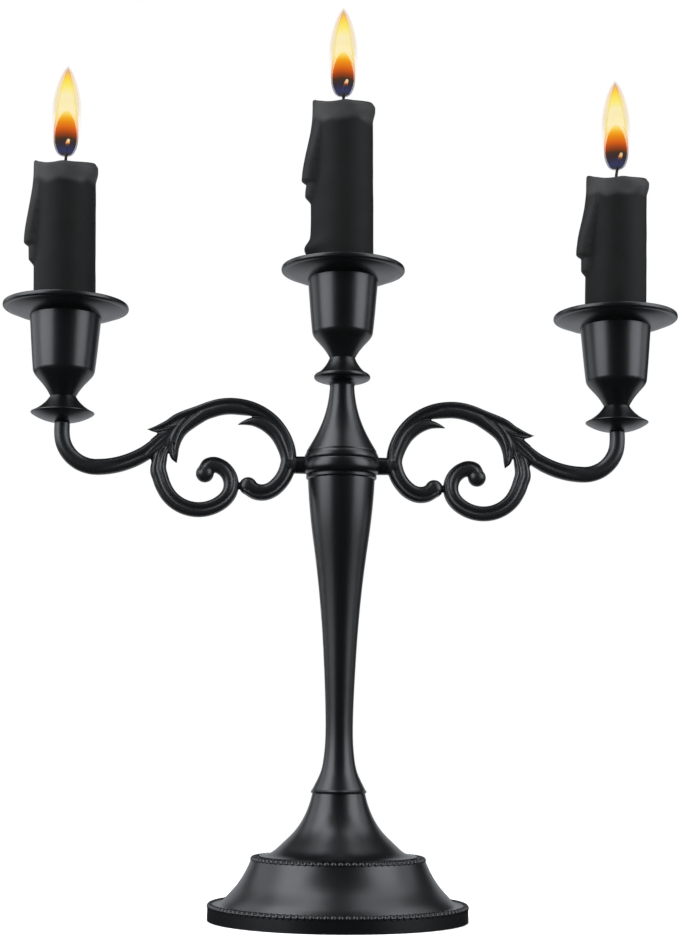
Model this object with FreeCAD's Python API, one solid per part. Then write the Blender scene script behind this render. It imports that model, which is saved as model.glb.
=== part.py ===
"""Three-light candelabrum in black painted metal.

A turned stand carries a branch of two scroll arms. Each of the three cups holds a drip pan
and a candle. The origin is the centre of the base's underside, +Z is up and the arms lie
along X. All sizes are in millimetres.
"""
import FreeCAD, Part
import math
import os

os.makedirs("parts", exist_ok=True)
Vector = FreeCAD.Vector

# Base: a lower tier with an upright rim, an upper tier, and a beaded ring on each
BASE_RADIUS = 50.0
RIM_HEIGHT = 6.0
SHELL_WALL = 2.0
FELT_THICKNESS = 2.0
FELT_GAP = 0.1
LEDGE_HEIGHT = 23.2
LEDGE_RADIUS = 33.4
BASE_TOP = 48.0
BASE_TOP_RADIUS = 10.2
BEAD_HEIGHT = 1.3
LOWER_BEAD_RADIUS = 47.3
UPPER_BEAD_RADIUS = 31.8

# Column: stem, branch ring, neck and centre knop stand on one axis
STEM_TOP = 172.5
RING_TOP = 181.4
RING_GAP = 0.05
SPIGOT_RADIUS = 9.0
SPIGOT_BOTTOM = 168.0
NECK_TOP = 208.5
CENTRE_CUP_SEAT = 219.7
ROD_RADIUS = 3.0
ROD_BOTTOM = 11.5
ROD_TOP = 192.0
ROD_HOLE_RADIUS = ROD_RADIUS + 0.2
ROD_SEAT_DEPTH = 3.0
NUT_FLATS = 10.0
HEXAGON_SIDES = 6
NUT_HEIGHT = 5.0
WASHER_RADIUS = 12.0
WASHER_THICKNESS = 1.2

# Branch: two scroll arms, each a casting with a round section
ARM_REACH = 111.0
SIDE_DROP = 17.6
ARM_SECTION_RADIUS = 3.2
ARM_JOINT_REACH = 18.0
ARM_JOINT_HEIGHT = 176.2
ARM_END_HEIGHT = 192.0
LUG_ROOT_RADIUS = 3.58
LUG_RADIUS = 3.45
LUG_END_REACH = 21.8
LEAF_RADIUS = 2.4
LEAF_TIP_RADIUS = 0.5
VOLUTE_BALL_RADIUS = 3.7
STUD_RADIUS = 1.5
STUD_INNER_REACH = 13.0
STUD_OUTER_REACH = 22.6
SIDE_CUP_SEAT = CENTRE_CUP_SEAT - SIDE_DROP

# Cup, drip pan and cup screw, measured up from the cup's seat
CUP_HEIGHT = 32.6
CUP_MOUTH_RADIUS = 14.2
SOCKET_MOUTH_RADIUS = 12.75
SOCKET_FLOOR_RADIUS = 11.3
SOCKET_FLOOR = 12.6
SCREW_SEAT = 8.6
PAN_RADIUS = 25.0
PAN_WALL = 1.5
SCREW_RADIUS = 2.0
SCREW_HEAD_RADIUS = 3.8
SCREW_HEAD_HEIGHT = 2.6
SCREW_REACH = 20.0
SCREW_CLEARANCE = 0.15
SCREW_TIP_ROOM = 1.0

# Candles: straight above the pan, tapered to fit the socket
CANDLE_RADIUS = 12.4
CANDLE_FOOT_RADIUS = 10.9
CANDLE_CLEARANCE = 0.3
CENTRE_CANDLE_TOP = 324.8
SIDE_CANDLE_TOP = 296.4
MELT_DEPTH = 2.0
WAX_RUN_RADIUS = 2.6
WAX_RUN_PROUD = 0.8
WAX_RUN_START = 4.0
WICK_RADIUS = 0.8
WICK_ABOVE_WAX = 23.5


def save(shape, name):
    shape.exportStep("parts/" + name + ".step")
    print(name, "valid", shape.isValid(), "solids", len(shape.Solids), "volume", round(shape.Volume, 1))


def turned(outline, x=0.0, z=0.0):
    """Revolve a closed (radius, height) outline about the vertical line at x.

    A pair is a corner, reached by a straight line. A list of pairs is a smooth curve from
    the corner before it through its own pairs.
    """
    edges = []
    start = outline[0]
    here = start
    for step in outline[1:] + [start]:
        targets = step if isinstance(step, list) else [step]
        points = [Vector(r, 0, h) for r, h in [here] + targets]
        if len(points) == 2:
            if points[0].distanceToPoint(points[1]) > 1e-6:
                edges.append(Part.LineSegment(points[0], points[1]).toShape())
        else:
            curve = Part.BSplineCurve()
            curve.interpolate(points)
            edges.append(curve.toShape())
        here = targets[-1]
    face = Part.Face(Part.Wire(edges))
    solid = face.revolve(Vector(0, 0, 0), Vector(0, 0, 1), 360)
    solid = Part.Solid(solid) if solid.ShapeType == "Shell" else solid
    solid.translate(Vector(x, 0, z))
    return solid


def rod_along(radius, start, end):
    axis = end - start
    return Part.makeCylinder(radius, axis.Length, start, axis)


def arc_path(start, heading, steps):
    """Tangent lines and arcs in the XZ plane, as a wire with its end point.

    A step is a plain length for a straight line, or (radius, turn in degrees), with
    anticlockwise turns positive.
    """
    here = Vector(start[0], 0, start[1])
    angle = math.radians(heading)
    edges = []
    for step in steps:
        ahead = Vector(math.cos(angle), 0, math.sin(angle))
        if isinstance(step, tuple):
            radius, turn = step
            side = math.copysign(1.0, turn)
            centre = here + Vector(-ahead.z, 0, ahead.x) * (radius * side)
            spoke = here - centre
            middle, end = (centre + swing(spoke, math.radians(turn) * part) for part in (0.5, 1.0))
            edges.append(Part.Arc(here, middle, end).toShape())
            angle += math.radians(turn)
        else:
            end = here + ahead * step
            edges.append(Part.LineSegment(here, end).toShape())
        here = end
    return Part.Wire(edges), here


def swing(arm, angle):
    """Turn a vector anticlockwise in the XZ plane."""
    return Vector(arm.x * math.cos(angle) - arm.z * math.sin(angle), 0,
                  arm.x * math.sin(angle) + arm.z * math.cos(angle))


def tube(path, radius, start, heading):
    circle = Part.makeCircle(radius, start, heading)
    return path.makePipeShell([Part.Wire([circle])], True, False)


# ---- Base ---------------------------------------------------------------------------------

def base_foot():
    """Lower tier: an upright rim, a concave flare and a ledge with the rod hole."""
    inner_rim = BASE_RADIUS - SHELL_WALL
    under_ledge = LEDGE_HEIGHT - SHELL_WALL
    return turned([
        (BASE_RADIUS, 0), (BASE_RADIUS, RIM_HEIGHT - 0.8),
        [(BASE_RADIUS - 0.25, RIM_HEIGHT - 0.22), (BASE_RADIUS - 0.8, RIM_HEIGHT)],
        (44.9, RIM_HEIGHT),
        [(43.5, 8.0), (39.9, 11.9), (36.9, 16.0), (34.6, 20.3), (LEDGE_RADIUS, LEDGE_HEIGHT)],
        (ROD_HOLE_RADIUS, LEDGE_HEIGHT), (ROD_HOLE_RADIUS, under_ledge),
        (31.9, under_ledge),
        [(32.9, 19.2), (35.1, 15.2), (38.2, 10.8), (42.0, 6.8), (43.2, 4.0)],
        (inner_rim - 1.2, 4.0), (inner_rim - 1.2, FELT_THICKNESS), (inner_rim, FELT_THICKNESS),
        (inner_rim, 0)])


def base_cone():
    """Upper tier: a flange on the ledge and a concave flare up to the stem's seat."""
    return turned([
        (30.4, LEDGE_HEIGHT), (30.4, LEDGE_HEIGHT + 1.0),
        [(25.3, 25.6), (21.9, 28.5), (17.2, 33.1), (13.9, 37.8), (11.8, 42.4), (BASE_TOP_RADIUS, BASE_TOP)],
        (ROD_HOLE_RADIUS, BASE_TOP), (ROD_HOLE_RADIUS, BASE_TOP - ROD_SEAT_DEPTH), (8.6, BASE_TOP - ROD_SEAT_DEPTH),
        [(9.8, 42.0), (11.9, 37.2), (15.2, 32.2), (20.0, 27.2), (22.0, LEDGE_HEIGHT)]])


def bead_ring(radius, height):
    """The ring that carries a row of beads: a half-round bead in section."""
    shoulder = BEAD_HEIGHT * math.cos(math.pi / 4)
    return turned([
        (radius + BEAD_HEIGHT, height),
        [(radius + shoulder, height + shoulder), (radius, height + BEAD_HEIGHT),
         (radius - shoulder, height + shoulder), (radius - BEAD_HEIGHT, height)]])


def felt_pad():
    return Part.makeCylinder(BASE_RADIUS - SHELL_WALL - FELT_GAP, FELT_THICKNESS)


def base_washer():
    top = LEDGE_HEIGHT - SHELL_WALL
    disc = Part.makeCylinder(WASHER_RADIUS, WASHER_THICKNESS, Vector(0, 0, top - WASHER_THICKNESS))
    return disc.cut(Part.makeCylinder(ROD_HOLE_RADIUS, LEDGE_HEIGHT))


def base_nut():
    top = LEDGE_HEIGHT - SHELL_WALL - WASHER_THICKNESS
    corner_radius = NUT_FLATS / 2 / math.cos(math.pi / HEXAGON_SIDES)
    turns = [math.tau * k / HEXAGON_SIDES for k in range(HEXAGON_SIDES + 1)]
    corners = [Vector(corner_radius * math.cos(turn), corner_radius * math.sin(turn), top - NUT_HEIGHT)
               for turn in turns]
    hexagon = Part.Face(Part.makePolygon(corners)).extrude(Vector(0, 0, NUT_HEIGHT))
    return hexagon.cut(Part.makeCylinder(ROD_RADIUS, LEDGE_HEIGHT))


def tie_rod():
    return Part.makeCylinder(ROD_RADIUS, ROD_TOP - ROD_BOTTOM, Vector(0, 0, ROD_BOTTOM))


# ---- Column -------------------------------------------------------------------------------

def stem():
    """Trumpet stem: flared foot, narrow waist, wide mouth with a lip, cored from the top."""
    foot = BASE_TOP
    return turned([
        (10.7, foot), (10.8, foot + 0.7), (10.3, foot + 1.3),
        [(9.3, foot + 3.2), (8.0, foot + 5.8), (6.9, foot + 8.6), (6.1, foot + 12.5), (5.5, foot + 18.5),
         (5.35, foot + 27.0), (5.85, foot + 42.0), (7.35, foot + 66.5), (9.9, foot + 90.5),
         (11.8, foot + 104.7), (12.9, foot + 116.0), (13.3, foot + 122.4)],
        (14.0, foot + 123.0), (14.05, STEM_TOP - 0.6), (13.7, STEM_TOP),
        (SPIGOT_RADIUS, STEM_TOP), (SPIGOT_RADIUS, STEM_TOP - 12.0),
        [(6.6, foot + 92.0), (4.6, foot + 70.0), (ROD_HOLE_RADIUS, foot + 50.0)],
        (ROD_HOLE_RADIUS, foot)])


def neck():
    """Trumpet-shaped nut on the tie rod: its spigot centres the ring in the stem's mouth."""
    body = turned([
        (14.0, RING_TOP), (13.95, RING_TOP + 0.5),
        [(12.4, 184.5), (10.35, 188.2), (8.65, 191.8), (7.25, 195.5), (6.2, 199.2), (5.45, 203.0),
         (4.9, NECK_TOP)],
        (0, NECK_TOP), (0, SPIGOT_BOTTOM), (SPIGOT_RADIUS, SPIGOT_BOTTOM), (SPIGOT_RADIUS, RING_TOP)])
    rod_hole = Part.makeCylinder(ROD_RADIUS, ROD_TOP - SPIGOT_BOTTOM, Vector(0, 0, SPIGOT_BOTTOM))
    screw_hole_bottom = CENTRE_CUP_SEAT + SCREW_SEAT - SCREW_REACH - SCREW_TIP_ROOM
    screw_hole = Part.makeCylinder(SCREW_RADIUS, NECK_TOP - screw_hole_bottom, Vector(0, 0, screw_hole_bottom))
    return body.cut(rod_hole).cut(screw_hole)


def centre_knop():
    """Turned collar between neck and cup: concave above its rounded rim, cushioned below."""
    bore = SCREW_RADIUS + SCREW_CLEARANCE
    return turned([
        (bore, NECK_TOP), (5.0, NECK_TOP),
        [(5.4, NECK_TOP + 0.9), (7.6, 210.1), (10.2, 210.8), (11.25, 211.7), (11.2, 212.6), (9.9, 213.6),
         (7.7, 215.5), (6.1, 217.8), (5.2, CENTRE_CUP_SEAT)],
        (bore, CENTRE_CUP_SEAT)])


def side_knop(x):
    """Turned disc on an arm's end: sharp rim, concave above, lens-shaped below."""
    bore = SCREW_RADIUS + SCREW_CLEARANCE
    return turned([
        (bore, ARM_END_HEIGHT), (4.2, ARM_END_HEIGHT),
        [(8.6, 193.2), (12.2, 195.1)], (12.6, 195.5), (12.45, 195.8),
        [(9.4, 197.6), (7.0, 199.7), (5.2, SIDE_CUP_SEAT)],
        (bore, SIDE_CUP_SEAT)], x)


# ---- Branch -------------------------------------------------------------------------------

def arm_ring():
    """Ring that turns on the neck's spigot: two rounded ridges and a lug for each arm."""
    bottom = STEM_TOP + RING_GAP
    top = RING_TOP - RING_GAP
    bore = SPIGOT_RADIUS + RING_GAP
    ring = turned([
        (bore, bottom), (13.9, bottom),
        [(14.9, bottom + 1.0), (15.25, bottom + 2.7), (15.0, bottom + 4.4), (14.5, bottom + 5.4)],
        [(14.85, bottom + 6.2), (14.7, bottom + 7.4), (13.9, top)],
        (bore, top)])
    for side in (-1, 1):
        root = Vector(side * (bore + 1.5), 0, ARM_JOINT_HEIGHT)
        seam = Vector(side * ARM_JOINT_REACH, 0, ARM_JOINT_HEIGHT)
        length = abs(seam.x - root.x)
        lug = Part.makeCone(LUG_ROOT_RADIUS, LUG_RADIUS, length, root, Vector(side, 0, 0))
        stud_hole = rod_along(STUD_RADIUS, Vector(side * STUD_INNER_REACH, 0, ARM_JOINT_HEIGHT), seam)
        ring = ring.fuse(lug).cut(stud_hole)
    return ring


def arm_stud(side):
    inner = Vector(side * STUD_INNER_REACH, 0, ARM_JOINT_HEIGHT)
    outer = Vector(side * STUD_OUTER_REACH, 0, ARM_JOINT_HEIGHT)
    return rod_along(STUD_RADIUS, inner, outer)


def leaf(base, tip):
    """A pointed leaf end: a cone from the scroll out to its blunted tip."""
    start = Vector(base[0], 0, base[1])
    axis = Vector(tip[0], 0, tip[1]) - start
    return Part.makeCone(LEAF_RADIUS, LEAF_TIP_RADIUS, axis.Length, start, axis)


def ball(centre, radius):
    return Part.makeSphere(radius, Vector(centre[0], 0, centre[1]))


def scroll_arm():
    """The right-hand arm: an S-curve that runs on into the outer scroll, and the volute below."""
    radius = ARM_SECTION_RADIUS
    down = Vector(0, 0, -1)
    start = (ARM_REACH, ARM_END_HEIGHT)
    main, main_end = arc_path(start, -90, [4.0, (13.9, -92.5), (34.0, -43.0), (59.0, 25.0), (23.2, 95.0),
                                           (15.0, 70.0), (7.3, 80.0)])
    arm = tube(main, radius, Vector(start[0], 0, start[1]), down)
    volute_start = (73.3, 181.6)
    volute, volute_end = arc_path(volute_start, -92, [(40.0, -21.0), (15.0, -111.5), (8.1, -127.5)])
    volute_heading = Vector(math.cos(math.radians(-92)), 0, math.sin(math.radians(-92)))
    arm = arm.fuse(tube(volute, radius, Vector(volute_start[0], 0, volute_start[1]), volute_heading))
    print("outer scroll ends at", main_end, "volute ends at", volute_end)
    ball_centre = Vector(54.2, 0, 172.3)
    additions = [
        ball((volute_start[0], volute_start[1]), radius),
        ball((main_end.x, main_end.z), radius + 0.2),
        ball((volute_end.x, volute_end.z), radius),
        rod_along(radius - 0.3, volute_end, ball_centre),
        ball((ball_centre.x, ball_centre.z), VOLUTE_BALL_RADIUS),
        leaf((68.5, 187.8), (76.4, 190.0)),
        leaf((68.2, 185.5), (65.4, 176.1)),
        leaf((33.5, 194.0), (40.8, 192.5)),
        rod_along(LUG_RADIUS, Vector(ARM_JOINT_REACH, 0, ARM_JOINT_HEIGHT),
                  Vector(LUG_END_REACH, 0, ARM_JOINT_HEIGHT))]
    for piece in additions:
        arm = arm.fuse(piece)
    stud_hole = rod_along(STUD_RADIUS, Vector(ARM_JOINT_REACH, 0, ARM_JOINT_HEIGHT),
                          Vector(STUD_OUTER_REACH, 0, ARM_JOINT_HEIGHT))
    screw_hole_bottom = SIDE_CUP_SEAT + SCREW_SEAT - SCREW_REACH - SCREW_TIP_ROOM
    screw_hole = rod_along(SCREW_RADIUS, Vector(ARM_REACH, 0, screw_hole_bottom),
                           Vector(ARM_REACH, 0, ARM_END_HEIGHT))
    return arm.cut(stud_hole).cut(screw_hole)


def mirrored(shape):
    return shape.mirror(Vector(0, 0, 0), Vector(1, 0, 0))


# ---- Candle holders -----------------------------------------------------------------------

def cup(x, seat):
    """Tapered cup on a waisted foot, with a conical socket and a recess for its screw."""
    bore = SCREW_RADIUS + SCREW_CLEARANCE
    recess = SCREW_HEAD_RADIUS + SCREW_CLEARANCE
    return turned([
        (bore, 0), (5.0, 0),
        [(6.3, 2.4), (8.1, 4.9), (10.3, 7.4), (11.7, 9.2), (12.3, 11.2)],
        [(12.75, 15.5), (13.35, 22.4), (CUP_MOUTH_RADIUS, CUP_HEIGHT)],
        (SOCKET_MOUTH_RADIUS, CUP_HEIGHT), (SOCKET_FLOOR_RADIUS, SOCKET_FLOOR), (recess, SOCKET_FLOOR),
        (recess, SCREW_SEAT), (bore, SCREW_SEAT)], x, seat)


def cup_screw(x, seat):
    """Pan-head screw down through cup and knop."""
    return turned([
        (0, SCREW_SEAT - SCREW_REACH), (SCREW_RADIUS, SCREW_SEAT - SCREW_REACH), (SCREW_RADIUS, SCREW_SEAT),
        (SCREW_HEAD_RADIUS, SCREW_SEAT), (SCREW_HEAD_RADIUS, SCREW_SEAT + 1.6),
        [(2.6, SCREW_SEAT + 2.4), (0, SCREW_SEAT + SCREW_HEAD_HEIGHT)]], x, seat)


def drip_pan(x, seat):
    """Dished ring on the cup's mouth with a rolled rim."""
    foot = CUP_HEIGHT
    return turned([
        (SOCKET_MOUTH_RADIUS, foot), (CUP_MOUTH_RADIUS, foot),
        [(17.0, foot + 0.35), (20.5, foot + 1.3), (23.4, foot + 2.75)],
        [(24.3, foot + 2.85), (24.9, foot + 3.35), (PAN_RADIUS, foot + 4.1), (24.75, foot + 4.8),
         (24.1, foot + 5.1), (23.3, foot + 4.75)],
        [(20.0, foot + PAN_WALL + 1.25), (16.8, foot + PAN_WALL + 0.35), (SOCKET_MOUTH_RADIUS, foot + PAN_WALL)]],
        x, seat)


# ---- Candles ------------------------------------------------------------------------------

def candle(x, seat, top, run_length):
    """Candle with a dished top, a tapered foot, a wick channel and a run of wax down its -X side."""
    foot = seat + SOCKET_FLOOR + CANDLE_CLEARANCE
    mouth = seat + CUP_HEIGHT
    wax = turned([
        (WICK_RADIUS, foot), (CANDLE_FOOT_RADIUS, foot), (CANDLE_RADIUS, mouth),
        (CANDLE_RADIUS, top - 1.2), [(11.9, top - 0.35), (11.0, top)],
        [(8.0, top - 0.7), (4.0, top - 0.9 * MELT_DEPTH), (WICK_RADIUS, top - MELT_DEPTH)]], x)
    run_top = Vector(x - CANDLE_RADIUS - WAX_RUN_PROUD, 0, top - WAX_RUN_START)
    run_end = run_top - Vector(0, 0, run_length)
    wax = wax.fuse(rod_along(WAX_RUN_RADIUS, run_end, run_top))
    for end in (run_top, run_end):
        wax = wax.fuse(Part.makeSphere(WAX_RUN_RADIUS, end))
    channel = rod_along(WICK_RADIUS, Vector(x, 0, foot), Vector(x, 0, top))
    return wax.cut(channel)


def wick(x, seat, top):
    foot = seat + SOCKET_FLOOR + CANDLE_CLEARANCE
    return rod_along(WICK_RADIUS, Vector(x, 0, foot), Vector(x, 0, top + WICK_ABOVE_WAX))


# ---- Every piece, saved under its own name ------------------------------------------------

save(base_foot(), "base_foot")
save(base_cone(), "base_cone")
save(bead_ring(LOWER_BEAD_RADIUS, RIM_HEIGHT), "lower_bead_ring")
save(bead_ring(UPPER_BEAD_RADIUS, LEDGE_HEIGHT), "upper_bead_ring")
save(felt_pad(), "felt_pad")
save(base_washer(), "base_washer")
save(base_nut(), "base_nut")
save(tie_rod(), "tie_rod")
save(stem(), "stem")
save(neck(), "neck")
save(centre_knop(), "centre_knop")
save(arm_ring(), "arm_ring")

right_arm = scroll_arm()
save(right_arm, "scroll_arm_right")
save(mirrored(right_arm), "scroll_arm_left")

for side_name, side in (("left", -1), ("right", 1)):
    save(arm_stud(side), "arm_stud_" + side_name)
    save(side_knop(side * ARM_REACH), "knop_" + side_name)

holders = (("centre", 0.0, CENTRE_CUP_SEAT, CENTRE_CANDLE_TOP, 34.0),
           ("left", -ARM_REACH, SIDE_CUP_SEAT, SIDE_CANDLE_TOP, 30.0),
           ("right", ARM_REACH, SIDE_CUP_SEAT, SIDE_CANDLE_TOP, 30.0))
for place, x, seat, candle_top, run_length in holders:
    save(cup(x, seat), "cup_" + place)
    save(cup_screw(x, seat), "cup_screw_" + place)
    save(drip_pan(x, seat), "drip_pan_" + place)
    save(candle(x, seat, candle_top, run_length), "candle_" + place)
    save(wick(x, seat, candle_top), "wick_" + place)
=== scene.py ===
# %% [markdown]
# # Three-light candelabrum
# A turned stand carries a ring with two cast scroll arms, and three cups hold black candles.
# The sizes and places come from the fixed frame, in metres, with +Z up and the arms along X.
# The turned pieces keep the frame's own meshes and get their paint here. The cast arms, the
# beads, the candles, the wicks and the flames are modelled below.

# %% Load the fixed frame
import math

import bmesh
import bpy
from mathutils import Matrix, Vector, noise


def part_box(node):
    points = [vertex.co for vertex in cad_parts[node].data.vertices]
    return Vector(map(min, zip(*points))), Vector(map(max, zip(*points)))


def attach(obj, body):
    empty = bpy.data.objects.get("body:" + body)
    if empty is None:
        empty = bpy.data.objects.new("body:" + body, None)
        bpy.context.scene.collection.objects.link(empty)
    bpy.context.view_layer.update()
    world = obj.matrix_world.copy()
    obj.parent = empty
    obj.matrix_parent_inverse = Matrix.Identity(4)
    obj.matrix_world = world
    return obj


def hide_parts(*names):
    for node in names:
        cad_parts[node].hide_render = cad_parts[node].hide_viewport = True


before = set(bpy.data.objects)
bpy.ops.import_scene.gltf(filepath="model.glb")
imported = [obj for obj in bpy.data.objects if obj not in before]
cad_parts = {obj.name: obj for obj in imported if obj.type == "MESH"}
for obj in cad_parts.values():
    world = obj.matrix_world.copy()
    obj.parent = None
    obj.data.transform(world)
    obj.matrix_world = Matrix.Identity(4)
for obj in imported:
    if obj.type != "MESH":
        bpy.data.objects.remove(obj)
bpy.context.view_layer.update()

MM = 0.001

# %% [markdown]
# ## Small helpers for materials
# Colours are picked as sRGB hex values, as in a paint catalogue. Shaders work in linear light,
# so one function converts them. Another adds a node, sets it up and links it in one call, and
# a third turns a value between 0 and 1 into colours.

# %% Colour and node helpers
def linear(hex_colour):
    """An sRGB hex colour, such as "#1c1f20", as linear RGBA."""
    channels = [int(hex_colour[start:start + 2], 16) / 255 for start in (1, 3, 5)]
    return (*[c / 12.92 if c <= 0.04045 else ((c + 0.055) / 1.055) ** 2.4 for c in channels], 1.0)


def add(tree, kind, settings=None, inputs=None):
    """Add a node. settings are its own properties, and inputs are socket values or links."""
    node = tree.nodes.new(kind)
    for name, value in (settings or {}).items():
        setattr(node, name, value)
    for name, value in (inputs or {}).items():
        if isinstance(value, bpy.types.NodeSocket):
            tree.links.new(value, node.inputs[name])
        else:
            node.inputs[name].default_value = value
    return node


def material(name):
    """An empty node material, with its tree."""
    made = bpy.data.materials.new(name)
    made.use_nodes = True
    made.node_tree.nodes.clear()
    return made, made.node_tree


def ramp(tree, value, stops):
    """Colours along a 0 to 1 value: stops are (position, hex colour) pairs."""
    node = add(tree, "ShaderNodeValToRGB", inputs={"Fac": value})
    elements = node.color_ramp.elements
    while len(elements) < len(stops):
        elements.new(0.5)
    for element, (position, colour) in zip(elements, stops):
        element.position = position
        element.color = linear(colour)
    return node.outputs["Color"]


# %% [markdown]
# ## Satin black enamel
# The metalwork is cast and spun, then sprayed with black enamel and baked. The film has a faint
# orange peel, waves about 2 mm long and far under a tenth of a millimetre deep, and fine grit at
# about 0.3 mm that breaks the gloss into a satin sheen. The colour is a touch cool.
#
# The arms are sand-cast, so their skin is coarser under the same paint. They get a second
# version from the same function, less sharp in its reflections. It is also a little paler, and
# that paleness is painted light: a lit copy of the same enamel that stands in for the broad
# highlights on the arms' flanks.

# %% Satin black enamel
ORANGE_PEEL = 2.2 * MM
PAINT_GRIT = 0.35 * MM
PAINT_CLOUD = 18 * MM


def make_enamel(name, dark, pale, smoothest, roughest):
    made, tree = material(name)
    place = add(tree, "ShaderNodeTexCoord").outputs["Object"]
    cloud = add(tree, "ShaderNodeTexNoise", inputs={
        "Vector": place, "Scale": 1 / PAINT_CLOUD, "Detail": 3.0})
    peel = add(tree, "ShaderNodeTexNoise", inputs={
        "Vector": place, "Scale": 1 / ORANGE_PEEL, "Detail": 2.0})
    grit = add(tree, "ShaderNodeTexNoise", inputs={"Vector": place, "Scale": 1 / PAINT_GRIT, "Detail": 2.0})
    colour = ramp(tree, cloud.outputs["Fac"], [(0.3, dark), (0.7, pale)])
    rough = add(tree, "ShaderNodeMapRange", inputs={
        "Value": grit.outputs["Fac"], "From Min": 0.3, "From Max": 0.7,
        "To Min": smoothest, "To Max": roughest})
    peel_bump = add(tree, "ShaderNodeBump", inputs={
        "Height": peel.outputs["Fac"], "Strength": 0.35, "Distance": 0.03 * MM})
    grit_bump = add(tree, "ShaderNodeBump", inputs={
        "Height": grit.outputs["Fac"], "Strength": 0.3, "Distance": 0.008 * MM,
        "Normal": peel_bump.outputs["Normal"]})
    shader = add(tree, "ShaderNodeBsdfPrincipled", inputs={
        "Base Color": colour, "Roughness": rough.outputs["Result"], "IOR": 1.5,
        "Normal": grit_bump.outputs["Normal"]})
    add(tree, "ShaderNodeOutputMaterial", inputs={"Surface": shader.outputs["BSDF"]})
    return made


enamel = make_enamel("satin_black_enamel", "#040405", "#060708", 0.28, 0.36)
# Painted highlight: the arms' enamel is paler than the rest, though the paint is the same.
painted_pale_cast_enamel = make_enamel("cast_black_enamel_painted_pale", "#0b0c0e", "#0e1012", 0.33, 0.41)
print("made", enamel.name, "and", painted_pale_cast_enamel.name)

# %% [markdown]
# ## Zinc-plated steel
# The tie rod, its nut and washer, the cup screws and the studs inside the arms are plain steel
# with a thin zinc plating. Drawn bar keeps fine lines along its length, and the zinc is a pale
# grey with a faint blue cast. The lines are 0.4 mm apart, coarser than real ones, so that they
# can be seen at all.

# %% Zinc-plated steel
def make_steel():
    made, tree = material("zinc_plated_steel")
    place = add(tree, "ShaderNodeTexCoord").outputs["Object"]
    bloom = add(tree, "ShaderNodeTexNoise", inputs={"Vector": place, "Scale": 1 / (3 * MM), "Detail": 4.0})
    lines = add(tree, "ShaderNodeTexWave", {"bands_direction": "Z"}, {
        "Vector": place, "Scale": 1 / (6.28 * 0.4 * MM), "Distortion": 1.5, "Detail": 2.0})
    colour = ramp(tree, bloom.outputs["Fac"], [(0.3, "#a9aeb4"), (0.7, "#c3c7ca")])
    rough = add(tree, "ShaderNodeMapRange", inputs={
        "Value": bloom.outputs["Fac"], "From Min": 0.3, "From Max": 0.7, "To Min": 0.28, "To Max": 0.42})
    bump = add(tree, "ShaderNodeBump", inputs={
        "Height": lines.outputs["Fac"], "Strength": 0.4, "Distance": 0.02 * MM})
    shader = add(tree, "ShaderNodeBsdfPrincipled", inputs={
        "Base Color": colour, "Metallic": 1.0, "Roughness": rough.outputs["Result"],
        "Normal": bump.outputs["Normal"]})
    add(tree, "ShaderNodeOutputMaterial", inputs={"Surface": shader.outputs["BSDF"]})
    return made


steel = make_steel()
print("made", steel.name)

# %% [markdown]
# ## Black wool felt
# A pad of pressed wool felt under the base keeps the metal off the table. Its matted fibres make
# soft lumps about 1.5 mm across with finer fuzz on them. The sheen gives the pale bloom that
# fibre ends show at a low angle.

# %% Black wool felt
def make_felt():
    made, tree = material("black_wool_felt")
    place = add(tree, "ShaderNodeTexCoord").outputs["Object"]
    mat = add(tree, "ShaderNodeTexNoise", inputs={"Vector": place, "Scale": 1 / (1.5 * MM), "Detail": 6.0})
    fuzz = add(tree, "ShaderNodeTexVoronoi", inputs={"Vector": place, "Scale": 1 / (0.5 * MM)})
    colour = ramp(tree, mat.outputs["Fac"], [(0.3, "#101010"), (0.7, "#232221")])
    mat_bump = add(tree, "ShaderNodeBump", inputs={
        "Height": mat.outputs["Fac"], "Strength": 0.7, "Distance": 0.25 * MM})
    fuzz_bump = add(tree, "ShaderNodeBump", inputs={
        "Height": fuzz.outputs["Distance"], "Strength": 0.5, "Distance": 0.1 * MM,
        "Normal": mat_bump.outputs["Normal"]})
    shader = add(tree, "ShaderNodeBsdfPrincipled", inputs={
        "Base Color": colour, "Roughness": 0.95, "Sheen Weight": 0.3, "Sheen Roughness": 0.5,
        "Normal": fuzz_bump.outputs["Normal"]})
    add(tree, "ShaderNodeOutputMaterial", inputs={"Surface": shader.outputs["BSDF"]})
    return made


felt = make_felt()
print("made", felt.name)

# %% [markdown]
# ## Finishes on the turned and spun pieces
# The stem, base, neck, knops, cups, pans and ring are plain shapes of revolution whose meshes
# already have the right profile, so they keep them. Only their finish is set here: black
# enamel, except for the hidden steel fasteners and the felt.

# %% Paint the frame's own pieces
STEEL_PIECES = ("tie_rod", "base_nut", "base_washer", "cup_screw", "arm_stud")

for name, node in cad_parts.items():
    finish = steel if name.startswith(STEEL_PIECES) else felt if name == "felt_pad" else enamel
    node.data.materials.clear()
    node.data.materials.append(finish)
print("painted", len(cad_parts), "frame pieces")

# %% [markdown]
# ## Helpers for meshes
# `piece` turns a finished bmesh into an object, gives it a finish, and ties it to the body that
# it moves with and to the frame nodes that it stands for.
#
# A cast scroll is a bundle of ribs. Each rib is a strand: an oval that runs along a line in the
# `piece` turns a finished bmesh into an object, gives it a finish, ties it to the body that
# it moves with, and hides the frame nodes that it stands for. The oval starts as a circle of vertices whose
# edges
# are extruded from row to row, so no faces are listed by hand. A vertex layer remembers each
# vertex's place round the oval, because an extrude copies it.

# %% Piece and strand helpers
def piece(bm, name, body, slot, finish, *replaced):
    mesh = bpy.data.meshes.new(name)
    bm.to_mesh(mesh)
    bm.free()
    mesh.materials.append(finish)
    mesh.shade_smooth()
    made = bpy.data.objects.new(name, mesh)
    bpy.context.scene.collection.objects.link(made)
    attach(made, body)
    if replaced:
        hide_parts(*replaced)
    print(name, "has", len(mesh.polygons), "faces")
    return made


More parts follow.
